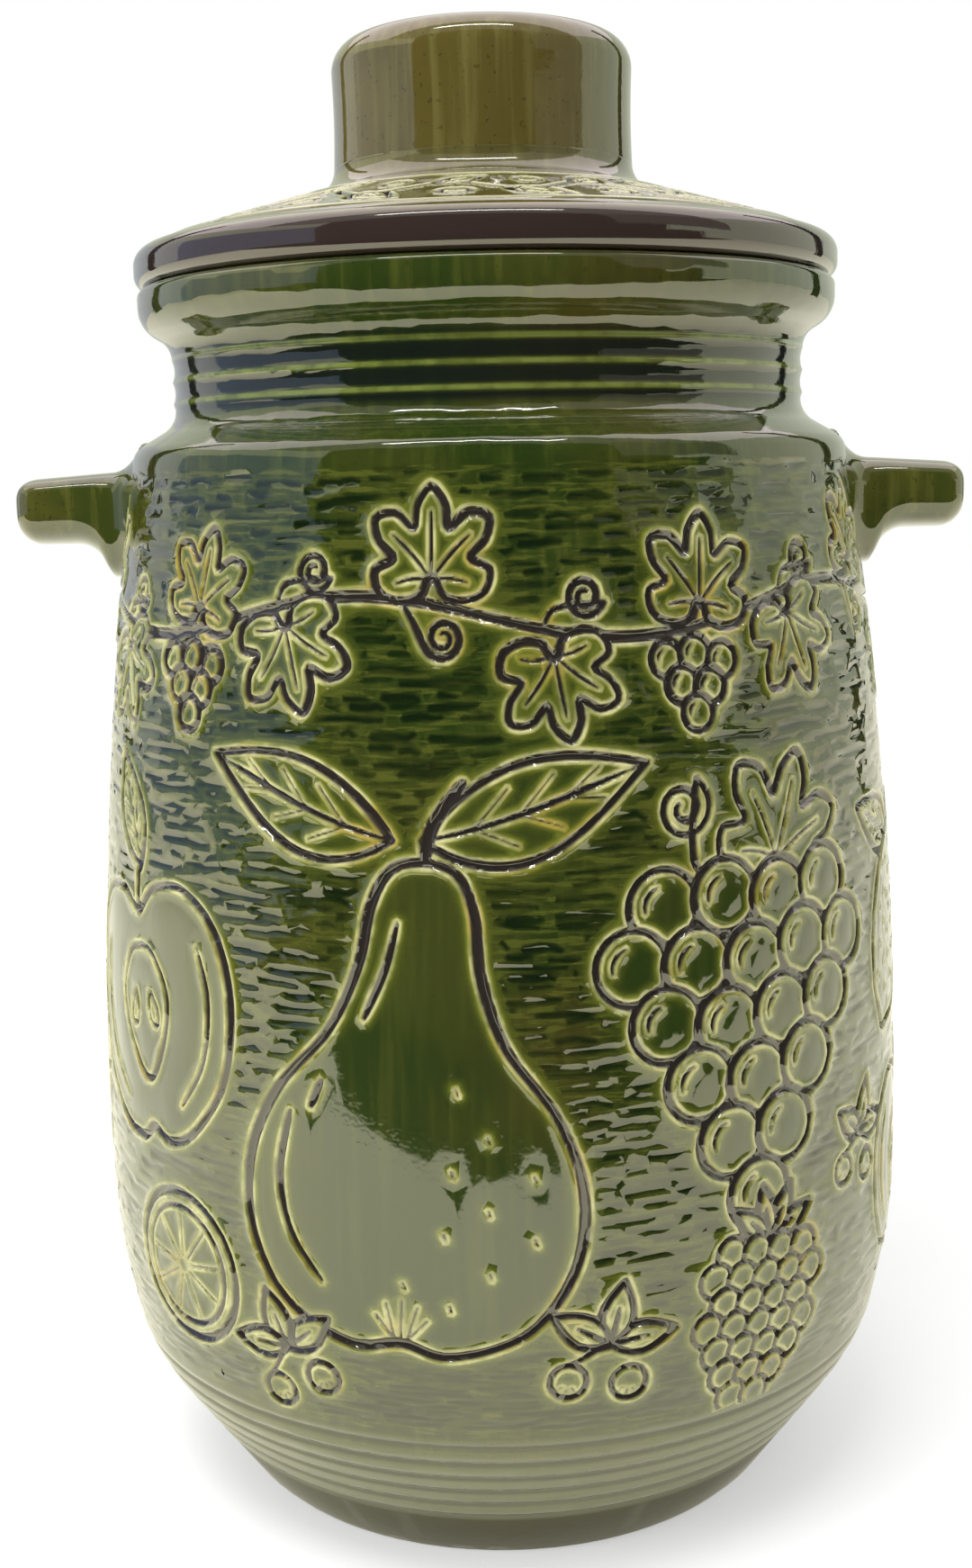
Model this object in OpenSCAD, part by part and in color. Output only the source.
// Stoneware rumtopf pot: a wheel-formed jar with a grooved neck, two luted side lugs
// and a drop-in lid whose hollow cylindrical knob is luted on top.
// Origin: centre of the footprint, on the table. +Z up, the front faces -Y, lugs on +X and -X.

/* [Pot] */
// Height of the pot without its lid, table to rim top
pot_h = 278; // [250:1:310]
// Largest outside diameter of the belly
belly_d = 190; // [178:1:200]
// Outside diameter of the foot ring on the table
base_d = 129; // [118:1:136]
// Outside diameter where the shoulder starts
shoulder_d = 164.4; // [156:0.2:170]
// Outside diameter of the neck, measured on its crests
neck_d = 144.8; // [138:0.2:150]
// Outside diameter of the rolled rim
rim_d = 159; // [154:0.5:164]
// Wall thickness of the body and neck
wall = 6.5; // [5:0.1:9]
// Thickness of the floor above the table plane
floor_t = 8; // [6:0.5:11]

/* [Neck grooves] */
// Distance from one neck crest to the next
crest_pitch = 4.9; // [4.2:0.1:5.4]
// Depth of each hollow between two crests
crest_depth = 0.8; // [0.4:0.1:1.2]

/* [Turned rings above the foot] */
// Height of the lowest ring, where the dark foot band ends
ring_z = 14.8; // [12:0.1:17]
// Distance from one turned ring to the next
ring_pitch = 4.8; // [4:0.1:5.5]
// Number of turned rings
ring_n = 6; // [4:1:6]
// Half width of a turned ring's V
ring_w = 0.9; // [0.5:0.1:1.3]
// Depth of a turned ring's V
ring_deep = 0.7; // [0.3:0.1:1]

/* [Lugs] */
// Distance from the pot's axis to the end of each lug
lug_reach = 109.5; // [102:0.5:116]
// Width of a lug from front to back
lug_w = 29; // [22:0.5:36]
// Height of a lug at its free end
lug_t = 14.8; // [12:0.2:17]
// Height of the lug's underside at the free end, above the table
lug_z = 221.7; // [214:0.1:224]

/* [Lid] */
// Outside diameter of the lid's rolled edge
lid_d = 160; // [154:0.5:166]
// Radial gap between the locating ring and the neck bore
seat_gap = 1; // [0.6:0.1:1.6]
// How far the locating ring reaches down into the neck
ring_drop = 8; // [5:0.5:10]
// Thickness of the locating ring
ring_t = 5; // [4:0.1:6]
// Thickness of the lid's conical top
lid_t = 5; // [4:0.1:6]
// Slope of the lid's conical top, in degrees
lid_slope = 16.7; // [12:0.1:20]

/* [Knob] */
// Outside diameter of the knob
knob_d = 68; // [58:1:76]
// Height of the knob above the collar that it is luted to
knob_h = 27.6; // [22:0.2:34]
// Wall thickness of the hollow knob
knob_t = 5.5; // [4:0.1:7]

/* [Hidden] */
$fn = 96;
belly_r = belly_d / 2;
base_r = base_d / 2;
shoulder_r = shoulder_d / 2;
neck_r = neck_d / 2;
rim_r = rim_d / 2;
lid_r = lid_d / 2;
knob_r = knob_d / 2;
bore_r = neck_r - wall;
// the lower body: a cone, then two tangent arcs that end upright at the belly
cone_a = 35;
mid_a = 12;
arc_a = 50;
arc_b = 135;
cone_r = belly_r - arc_b * (1 - cos(mid_a)) - arc_a * (cos(mid_a) - cos(cone_a));
cone_z = (cone_r - base_r) / tan(cone_a);
mid_z = cone_z + arc_a * (sin(cone_a) - sin(mid_a));
belly_z = mid_z + arc_b * sin(mid_a);
up_z = belly_z + 13;
ring_end = max(ring_z + ring_n * ring_pitch - 1, cone_z + 1);
ca = [belly_r - arc_b * (1 - cos(mid_a)) - arc_a * cos(mid_a), cone_z + arc_a * sin(cone_a)];
cb = [belly_r - arc_b, belly_z];
// the shoulder, from the neck down: concave fillet, slope, convex fillet
slope_a = 60;
low_r = neck_r - crest_depth / 2;
crest_1 = pot_h - 15.4;
neck_z = crest_1 - 2 * crest_pitch - 1.2;
cf = 6;
vf = 5;
wall_a = 9.7;
sl_in = [low_r + cf * (1 - cos(slope_a)), neck_z - cf * sin(slope_a)];
sl_r = shoulder_r - vf * (cos(wall_a) - cos(slope_a));
sl_out = [sl_r, sl_in[1] - (sl_r - sl_in[0]) / tan(slope_a)];
shoulder_z = sl_out[1] - vf * (sin(slope_a) - sin(wall_a));
up_rad = (pow(shoulder_z - up_z, 2) + pow(belly_r - shoulder_r, 2)) / 2 / (belly_r - shoulder_r);
// the inside of the body follows the outside at the wall thickness
in_c = [low_r + cf, neck_z];
in_r = cf + low_r - bore_r;
in_sl = [in_c[0] - in_r * cos(slope_a), in_c[1] - in_r * sin(slope_a)];
in_top = [shoulder_r - wall, in_sl[1] - (shoulder_r - wall - in_sl[0]) / tan(slope_a)];
in_rad = (pow(in_top[1] - up_z, 2) + pow(belly_r - wall - in_top[0], 2)) / 2
    / (belly_r - wall - in_top[0]);
in_f = 9;
in_cone = [ca[0] + (arc_a - wall) * cos(cone_a), ca[1] - (arc_a - wall) * sin(cone_a)];
in_fc = [in_cone[0] - tan(cone_a) * (in_cone[1] - floor_t - in_f) - in_f / cos(cone_a),
    floor_t + in_f];
// the lid: rolled edge, cone, collar
edge_f = 4;
edge_z = pot_h + 5;
cone_tip = [lid_r - edge_f + edge_f * sin(lid_slope), edge_z + edge_f * cos(lid_slope)];
collar_f = 7;
collar_tan = knob_r + collar_f * (1 - sin(lid_slope));
collar_z = cone_tip[1] + (cone_tip[0] - collar_tan) * tan(lid_slope) + collar_f * cos(lid_slope);
drop_r = bore_r - seat_gap;
under_dz = lid_t / cos(lid_slope);

// points of an arc round c, from angle a to angle b, in n steps
function arc(c, r, a, b, n) = [for (i = [0:n]) c + r * [cos(a + (b - a) * i / n), sin(a + (b - a) * i / n)]];
// outside radius of the plain lower body, cone and first arc, at height z
function low_at(z) = z < cone_z ? base_r + z * tan(cone_a) : ca[0] + sqrt(arc_a * arc_a - pow(ca[1] - z, 2));
// one turned V ring in the lower body at height z, and a plain point above it
function ring(z) = [
    [low_at(z - ring_w), z - ring_w],
    [low_at(z) - ring_deep, z + 0.2],
    [low_at(z + ring_w), z + ring_w],
    [low_at(z + ring_pitch / 2), z + ring_pitch / 2]];
// hollow of the neck between two crests, from height z upwards
function hollow(z) = let (h = crest_pitch / 2, r = (h * h + crest_depth * crest_depth) / 2 / crest_depth,
    a = asin(h / r)) arc([neck_r - crest_depth + r, z + h], r, 180 + a, 180 - a, 8);

// the outside, from the middle of the table plane up to the rim
function outside() = concat(
    [[0, 2.5], [base_r - 12, 2.5], [base_r - 10, 0.8], [base_r - 9, 0]],
    arc([base_r - 1.5, 1.5], 1.5, -90, -cone_a, 4),
    [for (i = [0:ring_n - 1]) each ring(ring_z + i * ring_pitch)],
    arc(ca, arc_a, -asin((ca[1] - ring_end) / arc_a), -mid_a, 4),
    arc(cb, arc_b, -mid_a, 0, 8),
    arc([belly_r - up_rad, up_z], up_rad, 0, asin((shoulder_z - up_z) / up_rad), 16),
    arc([sl_out[0] - vf * cos(slope_a), sl_out[1] - vf * sin(slope_a)], vf, wall_a, slope_a, 6),
    arc([low_r + cf, neck_z], cf, 180 + slope_a, 180, 8),
    hollow(crest_1 - 2 * crest_pitch),
    hollow(crest_1 - crest_pitch),
    rim_outside());

// the rolled rim, from the top crest to the top face
function rim_outside() = let (a = 46, up = 5.5, ov = 7,
    p = [neck_r + up * (1 - cos(a)), crest_1 + 0.4 + up * sin(a)],
    q = [rim_r - ov * (1 - cos(a)), 0],
    zq = p[1] + (q[0] - p[0]) / tan(a)) concat(
    arc([neck_r + up, crest_1 + 0.4], up, 180, 180 - a, 7),
    arc([rim_r - ov, zq + ov * sin(a)], ov, -a, 0, 7),
    arc([rim_r - 2, pot_h - 2], 2, 0, 90, 5));

// the inside, from the rim down to the middle of the floor
function inside() = concat(
    arc([bore_r + 2, pot_h - 2], 2, 90, 180, 5),
    arc(in_c, in_r, 180, 180 + slope_a, 6),
    arc([belly_r - wall - in_rad, up_z], in_rad, asin((in_top[1] - up_z) / in_rad), 0, 12),
    arc(cb, arc_b - wall, 0, -mid_a, 6),
    arc(ca, arc_a - wall, -mid_a, -cone_a, 8),
    arc(in_fc, in_f, -cone_a, -90, 6),
    [[0, floor_t]]);

module pot_body() {
  color([0.30, 0.34, 0.10])
    rotate_extrude()
      polygon(concat(outside(), inside()));
}

// the solid inside the pot's outside surface, for trimming the lugs to the wall
module pot_mass() {
  rotate_extrude()
    polygon(concat(outside(), [[0, pot_h]]));
}

// side view of one lug: x outwards, y up
module lug_side() {
  root_x = shoulder_r - 6;
  top = lug_z + lug_t;
  under_x = lug_reach - 12.5;
  polygon(concat(
    [[root_x, top + 2.2], [root_x, lug_z - 8]],
    arc([under_x, lug_z - 8], 8, 180, 90, 8),
    arc([lug_reach - 4.5, lug_z + 4.5], 4.5, -90, 0, 6),
    arc([lug_reach - 3, top - 3], 3, 0, 86, 5)));
}

// plan of one lug: rounded at the free end
module lug_plan() {
  r = 8;
  union() {
    translate([shoulder_r - 8, -lug_w / 2])
      square([lug_reach - r - shoulder_r + 8, lug_w]);
    translate([lug_reach - 2 * r, -lug_w / 2 + r])
      square([2 * r, lug_w - 2 * r]);
    for (s = [-1, 1])
      translate([lug_reach - r, s * (lug_w / 2 - r)])
        circle(r = r, $fn = 48);
  }
}

module lug() {
  difference() {
    intersection() {
      rotate([90, 0, 0])
        linear_extrude(height = lug_w + 2, center = true)
          lug_side();
      linear_extrude(height = pot_h)
        lug_plan();
    }
    pot_mass();
  }
}

module left_lug() {
  color([0.27, 0.30, 0.10])
    mirror([1, 0, 0])
      lug();
}

module right_lug() {
  color([0.27, 0.30, 0.10])
    lug();
}

module lid() {
  color([0.27, 0.24, 0.13])
    rotate_extrude()
      polygon(concat(
        [[knob_r - knob_t, collar_z]],
        [[knob_r - knob_t, cone_tip[1] + (cone_tip[0] - knob_r + knob_t) * tan(lid_slope) - under_dz]],
        [[drop_r - ring_t, cone_tip[1] + (cone_tip[0] - drop_r + ring_t) * tan(lid_slope) - under_dz]],
        arc([drop_r - ring_t + 1, pot_h - ring_drop + 1], 1, 180, 270, 4),
        arc([drop_r - 1, pot_h - ring_drop + 1], 1, 270, 360, 4),
        [[drop_r, pot_h]],
        arc([lid_r - 3, pot_h + 3], 3, -90, 0, 6),
        arc([lid_r - edge_f, edge_z], edge_f, 0, 90 - lid_slope, 7),
        arc([knob_r + collar_f, collar_z], collar_f, 270 - lid_slope, 180, 7)));
}

module lid_knob() {
  f = 7;
  color([0.33, 0.30, 0.13])
    rotate_extrude()
      polygon(concat(
        [[knob_r - knob_t, collar_z], [knob_r, collar_z]],
        arc([knob_r - f, collar_z + knob_h - f], f, 0, 90, 8),
        [[0, collar_z + knob_h], [0, collar_z + knob_h - knob_t]],
        arc([knob_r - knob_t - 4, collar_z + knob_h - knob_t - 4], 4, 90, 0, 5)));
}

pot_body();
left_lug();
right_lug();
lid();
lid_knob();
